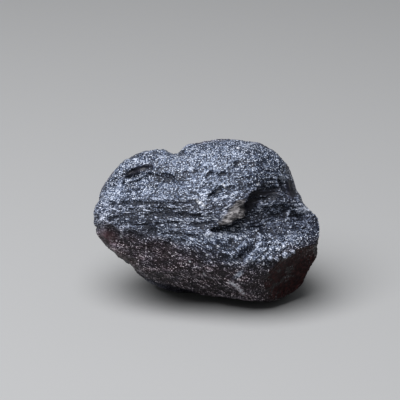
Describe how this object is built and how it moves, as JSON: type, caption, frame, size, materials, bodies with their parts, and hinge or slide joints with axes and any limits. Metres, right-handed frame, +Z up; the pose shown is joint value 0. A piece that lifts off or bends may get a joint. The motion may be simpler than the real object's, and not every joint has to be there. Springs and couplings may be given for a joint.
{
  "type": "tektite",
  "caption": "Lump of black natural impact glass with flow ridges, a jagged lip over a torn gouge, pits and one smooth conchoidal break, standing on a small flat spot.",
  "frame": {"origin": "under the middle of the lump's bounding box, on the surface that it stands on", "axes": "+X along the lump, towards the end with the gouge and the broken face; +Z up; the broad face with the flow ridges looks towards -Y"},
  "size_m": [0.0422, 0.0294, 0.0299],
  "materials": {
    "tektite_glass": "black natural glass with a finely pitted, sparkling skin, satin; glossier on the broken face"
  },
  "bodies": {
    "root": {"tektite": "tektite_glass"}
  },
  "joints": []
}
